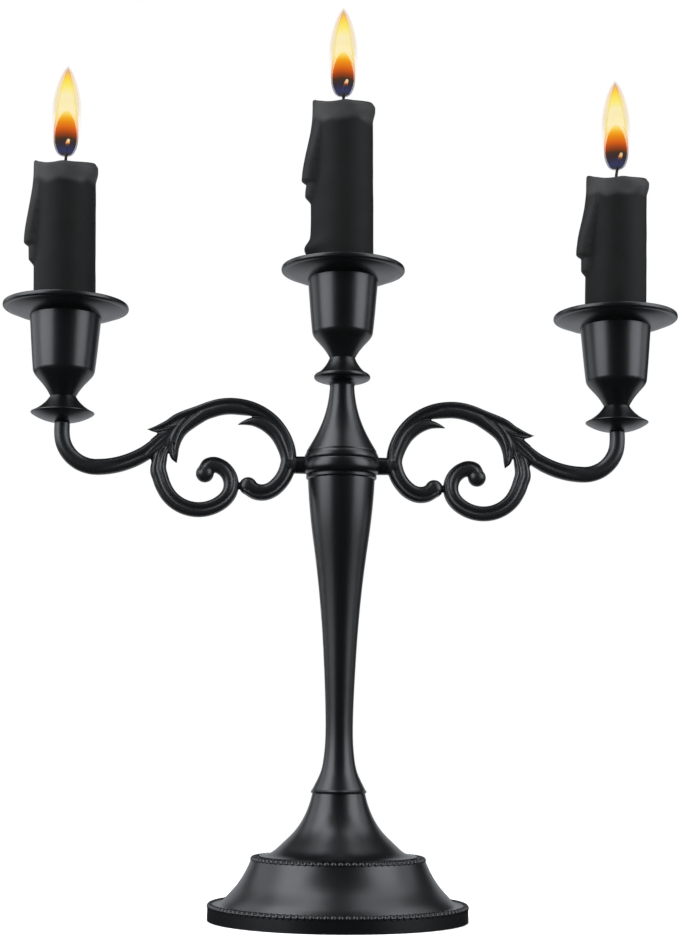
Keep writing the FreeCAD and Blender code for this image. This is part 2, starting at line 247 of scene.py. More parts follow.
def smooth_rows(rows, step=0.7):
    """Rows on the Catmull-Rom curve through the given rows, about one step apart in mm."""
    padded = [rows[0], *rows, rows[-1]]
    line = []
    for before, start, end, after in zip(padded, padded[1:], padded[2:], padded[3:]):
        count = max(1, round(math.dist(start[:2], end[:2]) / step))
        for part in range(count):
            t = part / count
            line.append([0.5 * (2 * b + (c - a) * t + (2 * a - 5 * b + 4 * c - d) * t * t
                                + (3 * b - a - 3 * c + d) * t ** 3)
                         for a, b, c, d in zip(before, start, end, after)])
    line.append(list(rows[-1]))
    return line


def strand(bm, rows, sides=24):
    """Sweep an oval along rows of (reach, height, half width, half depth), all in mm."""
    line = smooth_rows(rows)
    place = bm.verts.layers.float.get("place") or bm.verts.layers.float.new("place")
    ring = bmesh.ops.create_circle(bm, segments=sides, radius=1.0, cap_ends=True)["verts"]
    for index, vert in enumerate(ring):
        vert[place] = math.tau * index / sides
    edges = list({edge for vert in ring for edge in vert.link_edges})
    for index, (reach, height, half_width, half_depth) in enumerate(line):
        if index:
            grown = bmesh.ops.extrude_edge_only(bm, edges=edges)["geom"]
            ring = [item for item in grown if isinstance(item, bmesh.types.BMVert)]
            edges = [item for item in grown if isinstance(item, bmesh.types.BMEdge) and item.is_boundary]
        behind, front = line[max(index - 1, 0)], line[min(index + 1, len(line) - 1)]
        ahead = Vector((front[0] - behind[0], 0, front[1] - behind[1])).normalized()
        across = Vector((-ahead.z, 0, ahead.x))
        for vert in ring:
            out = across * math.cos(vert[place]) * max(half_width, 0.12)
            out.y = math.sin(vert[place]) * max(half_depth, 0.12)
            vert.co = (Vector((reach, 0, height)) + out) * MM
    bmesh.ops.contextual_create(bm, geom=edges)


# %% [markdown]
# A long scroll follows arcs that flow into each other. `follow` walks along them, and `band`
# lays two ribs side by side on that path, with the groove between them at a chosen share of the
# half width, so that two strands make a grooved band. Where they meet, each rib is at 0.76 of
# its own half width, which leaves a groove about a third of the depth.

# %% Paths and grooved bands
GROOVE_REACH = 0.76


def follow(start, heading, arcs, spacing=4.0):
    """(reach, height, heading in radians, share of the length) along arcs of (radius, turn)."""
    total = sum(radius * math.radians(abs(turn)) for radius, turn in arcs)
    reach, height, angle, done = *start, math.radians(heading), 0.0
    points = [(reach, height, angle, 0.0)]
    for radius, turn in arcs:
        length = radius * math.radians(abs(turn))
        count = max(2, round(length / spacing))
        bend = math.radians(turn) / count
        for _ in range(count):
            chord = 2 * radius * math.sin(abs(bend) / 2)
            reach += chord * math.cos(angle + bend / 2)
            height += chord * math.sin(angle + bend / 2)
            angle += bend
            done += length / count
            points.append((reach, height, angle, done / total))
    return points


def at(stops, share):
    """The value at a share of the way, straight between (share, value) stops."""
    for (low, start), (high, end) in zip(stops, stops[1:]):
        if share <= high:
            return start + (end - start) * max(0.0, (share - low) / (high - low))
    return stops[-1][1]


def band(path, outer_side, half_width, groove, depth, low=0.0, high=1.01):
    """Rows of the outer and the inner rib along part of a path. outer_side is 1 for its left."""
    outer, inner = [], []
    for reach, height, angle, share in path:
        if not low <= share <= high:
            continue
        width, split = at(half_width, share), at(groove, share)
        left = Vector((-math.sin(angle), math.cos(angle))) * outer_side
        for rows, part, sign in ((outer, 1 - split, 1), (inner, 1 + split, -1)):
            rib = width * part / (1 + GROOVE_REACH)
            centre = Vector((reach, height)) + left * (width - rib) * sign
            rows.append((centre.x, centre.y, rib, at(depth, share)))
    return outer, inner


# %% [markdown]
# ## The scroll arms
# Each arm is one casting. An S-curve leaves the cup and swells into leaves, where the outer
# scroll and the volute begin. The outer scroll passes over the top, sprouts an inner leaf, runs
# down beside the ring and ends in a blunt curl. The volute winds inwards to a ball.
#
# The ribs are swept one by one and overlap. A voxel remesh then fuses them into one skin, and
# light smoothing rounds the grooves as a sand or die casting and its paint would. Sweeping the
# whole band as one section was the other way, but its ribs couldn't part into leaves.

# %% Rows of the outer scroll
scroll = follow((73.55, 184.15), 134.5, [(59.0, 25.0), (23.2, 95.0), (15.0, 70.0), (7.3, 80.0)])
SCROLL_WIDTH = [(0.15, 3.6), (0.28, 3.4), (0.4, 3.3), (0.56, 3.4), (0.74, 3.2), (1.0, 3.3)]
SCROLL_GROOVE = [(0.0, 0.27), (0.93, 0.27), (1.0, 0.5)]
SCROLL_DEPTH = [(0.0, 2.7), (0.3, 3.0), (1.0, 3.1)]
outer_rib, top_rib = band(scroll, -1, SCROLL_WIDTH, SCROLL_GROOVE, SCROLL_DEPTH, 0.22)
ring_rib = band(scroll, -1, SCROLL_WIDTH, SCROLL_GROOVE, SCROLL_DEPTH, 0.72)[1]
top_rib = [row for row in top_rib if row[0] > 37.5 and row[1] > 190]

upper_leaf = [(77.5, 189.5, 0.15, 0.4), (74.2, 190.2, 0.7, 1.3), (69.4, 192.3, 1.2, 2.1),
              (65.2, 195.0, 1.4, 2.5)]
lower_leaf = [(65.5, 176.1, 0.15, 0.4), (65.7, 179.0, 0.75, 1.4), (65.6, 182.5, 1.1, 2.1),
              (64.6, 186.4, 1.5, 2.5), (62.2, 190.2, 1.9, 2.8)]
inner_leaf = [(41.5, 192.1, 0.15, 0.4), (38.6, 193.0, 1.0, 1.7), (34.9, 193.4, 1.9, 2.5),
              (30.4, 192.1, 2.6, 2.9), (26.3, 188.7, 2.7, 3.0), (23.6, 183.8, 2.4, 3.1)]
scroll_strands = [
    upper_leaf + outer_rib,
    lower_leaf + top_rib + [(34.2, 196.7, 1.3, 2.6), (30.8, 195.3, 0.8, 2.2), (28.0, 193.6, 0.3, 1.6)],
    inner_leaf + ring_rib,
    [(76.2, 189.2, 0.2, 0.4), (73.2, 188.9, 0.65, 1.5), (70.4, 189.4, 0.8, 2.0), (67.4, 190.4, 0.85, 2.3),
     (64.2, 192.2, 0.5, 2.0)],
    [(65.6, 176.5, 0.2, 0.4), (67.0, 178.3, 0.75, 1.3), (67.7, 181.0, 1.0, 1.8), (67.6, 184.0, 1.0, 2.1),
     (66.8, 187.2, 1.0, 2.4), (65.0, 190.6, 0.9, 2.5), (62.4, 193.8, 0.5, 2.2)],
]
print("outer scroll has", len(scroll_strands), "ribs")

# %% [markdown]
# The S-curve is round where it enters the knop. Nearer the leaves, two ribs rise out of it and
# its own core sinks, so that a groove opens between them. A third thin rib lies between the two
# at the junction. All end in points among the leaves.

# %% Rows of the S-curve
ARM_END = (111.0, 192.0)
STRAIGHT_END = 3.95
s_curve = follow((ARM_END[0], ARM_END[1] - STRAIGHT_END), -90, [(13.9, -90.7), (35.5, -41.0)])
S_WIDTH = [(0.0, 3.1), (0.5, 3.2), (0.85, 3.05), (1.0, 2.9)]
S_CORE_DEPTH = [(0.0, 3.1), (0.45, 3.15), (0.75, 2.3), (1.0, 1.9)]
s_core = [(*ARM_END, 3.07, 3.07)]
s_core += [(reach, height, at(S_WIDTH, share), at(S_CORE_DEPTH, share))
           for reach, height, _, share in s_curve]
s_core += [(70.6, 187.0, 2.2, 1.8), (67.6, 189.8, 1.0, 1.6)]
S_DEPTH = [(0.4, 2.6), (0.6, 3.05), (1.0, 2.8)]
s_upper, s_lower = band(s_curve, -1, S_WIDTH, [(0.0, 0.0), (1.0, 0.0)], S_DEPTH, 0.45, 0.94)
s_strands = [
    s_core,
    s_upper + [(72.2, 186.6, 1.1, 2.5), (68.4, 189.3, 0.35, 1.8)],
    s_lower[:-1] + [(75.2, 179.7, 1.2, 2.6), (71.8, 182.6, 0.8, 2.3), (69.2, 185.8, 0.3, 1.7)],
    [(78.0, 178.9, 0.3, 2.3), (75.2, 181.3, 0.9, 2.6), (72.4, 184.1, 0.9, 2.5), (69.8, 186.8, 0.6, 2.2),
     (67.8, 188.8, 0.25, 1.6)],
]

# %% [markdown]
# The volute starts in two points below the S-curve. Its groove wanders from just inside the
# middle to the outside of the last turn and fades there, where the band swells into the ball.
# A thin core under all the ribs closes any gap between them.

# %% Rows of the volute
volute = follow((73.6, 181.1), -92, [(40.0, -21.0), (15.0, -111.5), (8.1, -127.5), (3.0, -93.0)])
VOLUTE_WIDTH = [(0.1, 3.25), (0.3, 3.1), (0.45, 3.0), (0.6, 3.0), (0.75, 3.05), (1.0, 3.05)]
VOLUTE_GROOVE = [(0.0, -0.05), (0.2, -0.15), (0.42, -0.13), (0.6, 0.06), (0.72, 0.25), (0.86, 0.6)]
VOLUTE_DEPTH = [(0.0, 2.7), (0.3, 2.9), (0.8, 3.0), (1.0, 3.2)]
volute_outer, volute_inner = band(volute, 1, VOLUTE_WIDTH, VOLUTE_GROOVE, VOLUTE_DEPTH, 0.08)
volute_strands = [
    [(69.0, 184.8, 0.2, 1.6), (71.0, 182.2, 0.8, 2.2), (72.9, 179.3, 1.5, 2.6)] + volute_outer,
    [(68.8, 184.2, 0.2, 1.6), (69.7, 181.2, 0.9, 2.1), (70.5, 178.3, 1.35, 2.5)] + volute_inner,
]
CORE_DEPTH = 1.9
core_strands = [
    [(reach, height, 2.4, CORE_DEPTH) for reach, height, _, share in scroll if share > 0.1],
    [(reach, height, 2.3, CORE_DEPTH) for reach, height, _, share in volute],
    [(75.0, 184.0, 1.8, CORE_DEPTH), (70.5, 187.0, 2.6, CORE_DEPTH), (66.0, 190.6, 3.0, CORE_DEPTH),
     (61.0, 194.2, 3.0, CORE_DEPTH)],
    [(69.6, 180.6, 1.2, CORE_DEPTH), (68.4, 185.0, 2.0, CORE_DEPTH), (66.8, 189.6, 2.2, CORE_DEPTH)],
]

# %% [markdown]
# The volute's ball, the curl's blunt end and the lug that meets the ring are added as closed
# shapes of their own. The left arm is the right one mirrored, and its normals are recalculated
# because a mirror turns a skin inside out.

# %% Fuse an arm and mirror it
VOXEL = 0.3 * MM
SOFTENING = 5
ARM_JOINT_HEIGHT = 176.2
LUG = [(18.0, 3.45, 3.45), (19.0, 3.45, 3.45), (19.6, 3.25, 3.25), (20.8, 3.35, 3.3), (22.6, 3.9, 3.0)]
VOLUTE_BALL = ((54.2, 172.2), 3.6)
CURL_END = ((37.0, 167.45), 3.6, 0.84)


def fused(bm, voxel, smoothing):
    """One closed skin round everything in the mesh, lightly smoothed."""
    mesh = bpy.data.meshes.new("loose")
    bm.to_mesh(mesh)
    bm.free()
    holder = bpy.data.objects.new("loose", mesh)
    bpy.context.scene.collection.objects.link(holder)
    remesh = holder.modifiers.new("fuse", "REMESH")
    remesh.mode, remesh.voxel_size = "VOXEL", voxel
    smooth = holder.modifiers.new("soften", "SMOOTH")
    smooth.factor, smooth.iterations = 0.5, smoothing
    skin = bpy.data.meshes.new_from_object(holder.evaluated_get(bpy.context.evaluated_depsgraph_get()))
    bpy.data.objects.remove(holder)
    bpy.data.meshes.remove(mesh)
    joined = bmesh.new()
    joined.from_mesh(skin)
    bpy.data.meshes.remove(skin)
    return joined


def sphere(bm, centre, radius, depth_share=1.0):
    place = Matrix.Translation(Vector((centre[0], 0, centre[1])) * MM)
    place @= Matrix.Diagonal((1, depth_share, 1, 1))
    bmesh.ops.create_uvsphere(bm, u_segments=32, v_segments=16, radius=radius * MM, matrix=place)


def make_arms():
    bm = bmesh.new()
    for rows in scroll_strands + s_strands + volute_strands + core_strands:
        strand(bm, rows)
    strand(bm, [(reach, ARM_JOINT_HEIGHT, half_width, half_depth) for reach, half_width, half_depth in LUG])
    sphere(bm, *VOLUTE_BALL)
    sphere(bm, *CURL_END)
    right = fused(bm, VOXEL, SOFTENING)
    left = right.copy()
    bmesh.ops.scale(left, vec=(-1, 1, 1), verts=left.verts)
    bmesh.ops.recalc_face_normals(left, faces=left.faces)
    piece(right, "cast_arm_right", "branch", "black_paint", painted_pale_cast_enamel, "scroll_arm_right")
    piece(left, "cast_arm_left", "branch", "black_paint", painted_pale_cast_enamel, "scroll_arm_left")


make_arms()

# %% [markdown]
# ## The beaded rings
# A row of fine beads runs round the lower rim and round the upper ledge. On the real base they
# are rolled into the edge with a knurling wheel. Each bead is a coarse sphere, placed by a loop
# at an even pitch, on a low band that a full spin of a small outline makes. They sit right on
# the edge, a little further out and lower than the frame's plain rings.

# %% Beads
def lathe(bm, outline, axis=0.0, steps=64):
    """Spin an outline of (radius, height) pairs in mm about the upright line at axis."""
    verts = [bm.verts.new(Vector((axis + radius, 0, height)) * MM) for radius, height in outline]
    edges = [bm.edges.new(pair) for pair in zip(verts, verts[1:])]
    bmesh.ops.spin(bm, geom=verts + edges, cent=Vector((axis, 0, 0)) * MM, axis=(0, 0, 1),
                   angle=math.tau, steps=steps, use_merge=True)
    bmesh.ops.remove_doubles(bm, verts=bm.verts, dist=0.001 * MM)
    bmesh.ops.recalc_face_normals(bm, faces=bm.faces)


BEAD_RADIUS = 1.3
BEAD_PITCH = 2.6
BEAD_LIFT = 0.1
BEAD_BAND = [(-1.2, 0.0), (-0.8, 0.5), (0.0, 0.7), (0.8, 0.5), (1.2, 0.0), (-1.2, 0.0)]


def make_beads(name, node, outward, drop):
    """Beads in place of a plain ring, set outward and down from it by a little, in mm."""
    low, high = (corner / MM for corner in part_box(node))
    ring_radius = high.x - (high.z - low.z) + outward
    seat = low.z - drop
    count = round(math.tau * ring_radius / BEAD_PITCH)
    bm = bmesh.new()
    lathe(bm, [(ring_radius + across, seat + rise) for across, rise in BEAD_BAND], steps=160)
    for index in range(count):
        turn = Matrix.Rotation(math.tau * index / count, 4, "Z")
        place = turn @ Matrix.Translation(Vector((ring_radius, 0, seat + BEAD_LIFT)) * MM)
        bmesh.ops.create_uvsphere(bm, u_segments=10, v_segments=6, radius=BEAD_RADIUS * MM, matrix=place)
    piece(bm, name, "stand", "black_paint", enamel, node)
    print(count, "beads at", round(math.tau * ring_radius / count, 2), "mm")


make_beads("beads_on_rim", "lower_bead_ring", 1.7, 0.8)
make_beads("beads_on_ledge", "upper_bead_ring", 0.8, 0.5)

# %% [markdown]
# ## Black candle wax
# Paraffin dyed black through the mass. Moulded wax is smooth and a little waxy, so the surface
# is matt with a soft broad shine. Where it has melted and set again, near the top and on the
# runs, it's glossier. Those spots are also painted paler, and that is painted light: near the top
# a painted glow, the flame's light through the wax, and on the runs a painted sheen. A point
# attribute holds how much of both each spot has, since it follows the shape and not the height
# alone.

# %% Wax material
def make_wax():
    made, tree = material("black_paraffin_wax")
    place = add(tree, "ShaderNodeTexCoord").outputs["Object"]
    remelt_and_painted_light = add(tree, "ShaderNodeAttribute", {"attribute_name": "remelt_and_painted_light"}).outputs["Fac"]
    cloud = add(tree, "ShaderNodeTexNoise", inputs={"Vector": place, "Scale": 1 / (7 * MM), "Detail": 3.0})
    skin = add(tree, "ShaderNodeTexNoise", inputs={"Vector": place, "Scale": 1 / (1.2 * MM), "Detail": 3.0})
    body = ramp(tree, cloud.outputs["Fac"], [(0.3, "#0e0e0e"), (0.7, "#111111")])
    # Paler wax colour: painted glow near the top and painted sheen on the runs, not a real change of
    # colour.
    painted_pale_wax = ramp(tree, cloud.outputs["Fac"], [(0.3, "#272727"), (0.7, "#2f2f2f")])
    colour = add(tree, "ShaderNodeMix", {"data_type": "RGBA"}, {0: remelt_and_painted_light, 6: body, 7: painted_pale_wax}).outputs[2]
    rough = add(tree, "ShaderNodeMapRange", inputs={"Value": remelt_and_painted_light, "To Min": 0.65, "To Max": 0.5})
    bump = add(tree, "ShaderNodeBump", inputs={
        "Height": skin.outputs["Fac"], "Strength": 0.25, "Distance": 0.06 * MM})
    shader = add(tree, "ShaderNodeBsdfPrincipled", inputs={
        "Base Color": colour, "Roughness": rough.outputs["Result"], "IOR": 1.44, "Specular IOR Level": 0.15,
        "Normal": bump.outputs["Normal"]})
    add(tree, "ShaderNodeOutputMaterial", inputs={"Surface": shader.outputs["BSDF"]})
    return made


wax = make_wax()
print("made", wax.name)

# %% [markdown]
# ## The candles
# Each candle is a plain cylinder that has burned a while. Its rim has slumped: it is lowest in
# front, high at the left corner, dipped beside it, and swollen into a rounded lip at the right.
# Wax ran over the left corner and set as a drip that thickens downwards, with a smaller drop
# under it. The centre candle also has a thin streak below the drip and a set puddle at its foot.
#
# The outline is spun into a skin with many rows, and one function then pushes each vertex out
# by how much wax lies there. The side candles lean outwards in their cups by a degree or so,
# and the centre one leans half a degree to the left.

# %% Candle shape
CANDLE_RADIUS = 12.35
RUN_ANGLE = [(0.0, 200.0), (12.0, 199.0), (30.0, 192.0), (42.0, 190.0)]
RUN_HALF_SPAN = [(0.0, 22.0), (12.0, 23.0), (30.0, 17.0), (42.0, 11.0)]
FRONT_SLUMP = 0.27
LEAN = {"left": (-0.5, -2.0), "centre": (0.0, -0.5), "right": (0.0, 1.2)}
LEAN_SPAN = 55.0
LEAN_LIMIT = 1.4
TOP_ZONE = 13.0
CANDLE_FOOT_RADIUS = 10.9
RUN_GAIN = {"left": 0.93, "centre": 1.15, "right": 1.15}
PUDDLE_DEPTH = 60.5
WOBBLE = 0.12
RIM_DROP = {"left": 0.9, "centre": 0.7, "right": 1.7}


def soft(low, high, value):
    """0 at low, 1 at high, and a smooth slope between them."""
    share = min(1.0, max(0.0, (value - low) / (high - low)))
    return share * share * (3 - 2 * share)


def run_thickness(below):
    """How proud the drip stands, in mm, at a distance below the rim."""
    first = (0.3 + 3.9 * soft(2, 32, below)) * (1 - soft(32.0, 35.2, below))
    second = 2.2 * soft(26, 34, below) * (1 - soft(38.6, 41.6, below))
    return max(first, second)


def rim_height(turn):
    """How the rim stands above or below its mean, by the angle round the candle in degrees."""
    dip = -0.6 * math.exp(-(((turn - 238) / 22) ** 2))
    bump = 0.35 * math.exp(-(((turn - 272) / 12) ** 2))
    corner = 0.6 * math.exp(-(((turn - 186) / 15) ** 2))
    back = -0.5 * math.exp(-(((turn - 90) / 40) ** 2))
    return dip + bump + corner + back


def lean(place, height):
    """How far sideways, in mm, the candle has leaned at a height above its drip pan."""
    low_shift, high_shift = LEAN[place]
    share = min(LEAN_LIMIT, max(0.0, height / LEAN_SPAN))
    start = low_shift * soft(-12.0, 0.0, height)
    return start + (high_shift - low_shift) * share


def wax_at(turn, below, place):
    """Wax on top of the cylinder at this angle and distance below the rim, in mm."""
    away = (turn - at(RUN_ANGLE, below)) / at(RUN_HALF_SPAN, below)
    drip = run_thickness(below) * math.sqrt(max(0.0, 1 - away * away)) if abs(away) < 1 else 0.0
    drip *= RUN_GAIN[place]
    side = math.cos(math.radians(turn - 350))
    lip = 0.95 * soft(-0.2, 0.9, side) * soft(0.3, 2.2, below) * (1 - soft(3.4, 7.5, below))
    puddle = 0.0
    if place == "centre":
        around = (turn - 188) / 34
        height = (below - PUDDLE_DEPTH) / 3.2
        streak = 0.9 * soft(30, 38, below)
        puddle = (2.6 * math.exp(-height ** 2) + streak) * math.exp(-around ** 2)
    return drip + lip + puddle


# %% Make the candles
ROW = 0.5
RIM = [(12.28, 0.6), (12.08, 0.25), (11.7, 0.04), (11.2, 0.0), (10.5, 0.15)]
DISH = [(9.3, 0.7), (7.6, 1.4), (5.2, 1.8), (2.6, 2.0), (1.0, 1.6), (0.0, 1.5)]
RIM_START = 1.5


def candle_outline(foot, mouth, top):
    """(radius, height) from the foot's centre up the side and in over the dished top."""
    rows = math.ceil((top - RIM_START - mouth) / ROW)
    side = [(CANDLE_RADIUS, mouth + (top - RIM_START - mouth) * k / rows) for k in range(rows + 1)]
    widening = CANDLE_RADIUS - CANDLE_FOOT_RADIUS
    taper = [(CANDLE_FOOT_RADIUS + widening * k / 8, foot + (mouth - foot) * k / 8) for k in range(8)]
    return [(0.0, foot), (5.0, foot)] + taper + side + [(radius, top - drop) for radius, drop in RIM + DISH]


def make_candle(place):
    low, high = (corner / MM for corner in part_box("candle_" + place))
    axis = (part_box("wick_" + place)[0].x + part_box("wick_" + place)[1].x) / 2 / MM
    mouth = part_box("drip_pan_" + place)[0].z / MM
    bm = bmesh.new()
    lathe(bm, candle_outline(low.z, mouth, high.z), axis, steps=120)
    remelt_and_painted_light = bm.verts.layers.float.new("remelt_and_painted_light")
    for vert in bm.verts:
        spot = vert.co / MM
        across = Vector((spot.x - axis, spot.y))
        turn = math.degrees(math.atan2(across.y, across.x)) % 360
        below = high.z - spot.z
        near_top = 1 - soft(0.0, TOP_ZONE, below)
        spot.z += rim_height(turn) * soft(6.0, 11.0, across.length) * near_top
        spot.z -= RIM_DROP[place] * near_top
        raised = FRONT_SLUMP * (CANDLE_RADIUS + min(0.0, across.y))
        spot.z += raised * near_top * soft(8.0, 11.5, across.length)
        if spot.z > mouth + 2 and across.length > 9:
            extra = wax_at(turn, below, place) * soft(9.0, 12.0, across.length)
            across *= 1 + extra / across.length
        wobble = noise.noise(Vector((turn / 40, spot.z / 9, axis))) * WOBBLE
        across *= 1 + wobble * soft(9.0, 12.0, across.length) / max(across.length, 1.0)
        edge = below + 2.2 * noise.noise(Vector((spot.x / 5, spot.y / 5, spot.z / 14)))
        # The mask for the paler colour: painted glow in a band below the rim, painted sheen along the drip.
        # It also makes those spots glossier.
        vert[remelt_and_painted_light] = max(1 - soft(6.0, 9.5, edge), 0.35 * min(1.0, run_thickness(below)
                         * (abs(turn - at(RUN_ANGLE, below)) < at(RUN_HALF_SPAN, below))))
        vert.co = Vector((axis + lean(place, spot.z - mouth) + across.x, across.y, spot.z)) * MM
    piece(bm, "wax_candle_" + place, place + "_candle", "wax", wax, "candle_" + place)


for place in ("left", "centre", "right"):
    make_candle(place)

# %% [markdown]
# ## Wicks
# A braided cotton wick stands out of the wax. Its lower part is waxed and dark, and the part in
# the flame is char, with a small glowing end where it reaches the hot edge. It's a thin strand
# with the same helper as the scrolls, bent forward and a little to one side.

# %% Wick material and shape
WICK_BEND = 3.9


def make_wick_material():
    made, tree = material("charred_cotton_wick")
    place = add(tree, "ShaderNodeTexCoord").outputs["Object"]
    glow = add(tree, "ShaderNodeAttribute", {"attribute_name": "glow"}).outputs["Fac"]
    braid = add(tree, "ShaderNodeTexWave", {"bands_direction": "DIAGONAL"}, {
        "Vector": place, "Scale": 1 / (6.28 * 0.5 * MM), "Distortion": 2.0})
    char = ramp(tree, braid.outputs["Fac"], [(0.2, "#15100c"), (0.8, "#2c241d")])
    ember = ramp(tree, glow, [(0.0, "#000000"), (0.35, "#5a1c02"), (0.7, "#d8812e"), (1.0, "#f7d9a4")])
    bump = add(tree, "ShaderNodeBump", inputs={
        "Height": braid.outputs["Fac"], "Strength": 0.6, "Distance": 0.15 * MM})
    shader = add(tree, "ShaderNodeBsdfPrincipled", inputs={
        "Base Color": char, "Roughness": 0.9, "Emission Color": ember, "Emission Strength": 1.3,
        "Normal": bump.outputs["Normal"]})
    add(tree, "ShaderNodeOutputMaterial", inputs={"Surface": shader.outputs["BSDF"]})
    return made


wick_finish = make_wick_material()


def make_wick(place):
    low, high = (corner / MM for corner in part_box("wick_" + place))
    wax_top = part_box("candle_" + place)[1].z / MM - 1.8
    axis = (low.x + high.x) / 2 + lean(place, wax_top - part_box("drip_pan_" + place)[0].z / MM)
    bm = bmesh.new()
    strand(bm, [(axis, low.z, 0.75, 0.75), (axis, wax_top - 8, 0.75, 0.75), (axis, wax_top, 0.7, 0.7),
                (axis, wax_top + 4, 0.6, 0.6), (axis + 0.4, wax_top + 8.0, 0.6, 0.6),
                (axis + 1.0, wax_top + 11.2, 0.8, 0.8), (axis + 1.5, wax_top + 12.8, 0.5, 0.5)], sides=12)
    for vert in bm.verts:
        vert.co.y -= WICK_BEND * MM * soft(wax_top + 4, wax_top + 11.5, vert.co.z / MM)
    bmesh.ops.recalc_face_normals(bm, faces=bm.faces)
    glow = bm.verts.layers.float.new("glow")
    for vert in bm.verts:
        vert[glow] = soft(wax_top + 9.5, wax_top + 12.0, vert.co.z / MM)
    piece(bm, "cotton_wick_" + place, place + "_candle", "wick", wick_finish, "wick_" + place)


for place in ("left", "centre", "right"):
    make_wick(place)

# %% [markdown]
# ## Flames
# A candle flame is clear gas that glows: blue at the foot, dark over the wick, then orange,
# yellow and near white where the soot burns brightest, and orange again at the tip, inside a
# faint brown veil. It has no surface, so it could be a volume, but a volume has no mesh to keep.
# Here it's five nested shells, each spun from an outline, with colours by height. The inner one
# is solid, and the others let part of what is behind them through, less of it higher up.

# %% Flame material
def make_flame(name, stops, solid, strength):
    """Emission coloured by height. solid is the share of the view blocked, low down and high up,
    and None means all of it."""
    made, tree = material(name)
    height = add(tree, "ShaderNodeAttribute", {"attribute_name": "height"}).outputs["Fac"]
    light = add(tree, "ShaderNodeEmission", inputs={
        "Color": ramp(tree, height, stops), "Strength": strength})
    if solid is None:
        add(tree, "ShaderNodeOutputMaterial", inputs={"Surface": light.outputs[0]})
        return made
    share = add(tree, "ShaderNodeMapRange", inputs={
        "Value": height, "From Min": 0.4, "From Max": 0.56, "To Min": solid[0], "To Max": solid[1]})
    clear = add(tree, "ShaderNodeBsdfTransparent")
    both = add(tree, "ShaderNodeMixShader", inputs={
        0: share.outputs["Result"], 1: clear.outputs[0], 2: light.outputs[0]})
    add(tree, "ShaderNodeOutputMaterial", inputs={"Surface": both.outputs[0]})
    return made


FLAME_VEIL = [(0.0, "#8f8f95"), (0.1, "#8d92ab"), (0.18, "#b39a75"), (0.35, "#e0ac53"), (0.55, "#e2c062"),
              (0.75, "#eac64b"), (0.88, "#e6ac50"), (1.0, "#c8a080")]
FLAME_BODY = [(0.0, "#2e2d2b"), (0.03, "#24357c"), (0.07, "#1c2650"), (0.11, "#24150e"), (0.16, "#4a2004"),
              (0.21, "#b84200"), (0.27, "#ee7200"), (0.34, "#f9a808"), (0.43, "#fddc40"), (0.53, "#fff080"),
              (0.66, "#fff3a0"), (0.76, "#ffee50"), (0.84, "#ffe030"), (0.9, "#fdc040"), (0.95, "#eda860"),
              (1.0, "#c7b2a1")]
FLAME_CORE = [(0.0, "#3a2013"), (0.3, "#f5a040"), (0.42, "#ffe9a0"), (0.5, "#ffffff"), (0.7, "#ffffff"),
              (0.8, "#fffdb0"), (0.9, "#fff060"), (1.0, "#fedb67")]
FLAME_HEART = [(0.0, "#222120"), (0.12, "#2f1a10"), (0.3, "#2a1802"), (0.41, "#7a2404"), (0.52, "#c23c00"),
               (0.66, "#e06000"), (0.76, "#f28a00"), (0.85, "#f6b400"), (0.93, "#f8e020"), (1.0, "#fffc90")]
flame_veil = make_flame("flame_outer_veil", FLAME_VEIL, (0.05, 0.16), 1.0)
flame_body = make_flame("flame_bright_zone", FLAME_BODY, (0.42, 0.6), 1.0)
flame_core = make_flame("flame_inner_zone", FLAME_CORE, (0.0, 0.85), 1.1)
flame_heart = make_flame("flame_dark_zone", FLAME_HEART, None, 1.0)

# %% Flame shells
FLAME_HEIGHT = 38.6
FLAME_FOOT = 5.0
BODY_OUTLINE = [(0.0, 0.0), (2.4, 0.01), (3.8, 0.05), (4.7, 0.12), (5.0, 0.21), (4.9, 0.32), (4.4, 0.47),
                (3.6, 0.62), (2.7, 0.76), (1.6, 0.88), (0.7, 0.96), (0.0, 1.0)]
HEART_OUTLINE = [(0.0, 0.0), (2.2, 0.02), (3.4, 0.12), (4.2, 0.26), (4.4, 0.42), (4.1, 0.56), (3.3, 0.74),
                 (2.0, 0.89), (0.9, 0.97), (0.0, 1.0)]
HEART_SHARE = 0.49
VEIL_OUTLINE = [(0.0, 0.0), (2.9, 0.02), (4.6, 0.1), (5.5, 0.24), (5.9, 0.4), (5.7, 0.56), (4.9, 0.7),
                (3.5, 0.83), (1.7, 0.94), (0.0, 1.0)]


def make_shell(name, place, outline, foot, tall, widen, finish):
    axis = (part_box("wick_" + place)[0].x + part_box("wick_" + place)[1].x) / 2 / MM
    axis += lean(place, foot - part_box("drip_pan_" + place)[0].z / MM)
    bm = bmesh.new()
    rows = smooth_rows([(radius, share * FLAME_HEIGHT) for radius, share in outline], step=1.2)
    lathe(bm, [(max(radius, 0.0) * widen, foot + height * tall) for radius, height in rows], axis, steps=32)
    layer = bm.verts.layers.float.new("height")
    for vert in bm.verts:
        vert[layer] = (vert.co.z / MM - foot) / (FLAME_HEIGHT * tall)
    made = piece(bm, name + "_" + place, place + "_candle", None, finish)
    made.visible_shadow = False


for place in ("left", "centre", "right"):
    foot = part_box("candle_" + place)[1].z / MM + FLAME_FOOT
    make_shell("flame_veil", place, VEIL_OUTLINE, foot, 1.0, 1.0, flame_veil)
    make_shell("flame_veil_inner", place, VEIL_OUTLINE, foot + 0.2, 0.98, 0.88, flame_veil)
    make_shell("flame_body", place, BODY_OUTLINE, foot + 0.3, 0.965, 1.0, flame_body)
    make_shell("flame_core", place, BODY_OUTLINE, foot + 0.5, 0.93, 0.84, flame_core)
    make_shell("flame_heart", place, HEART_OUTLINE, foot + 0.7, HEART_SHARE, 1.0, flame_heart)

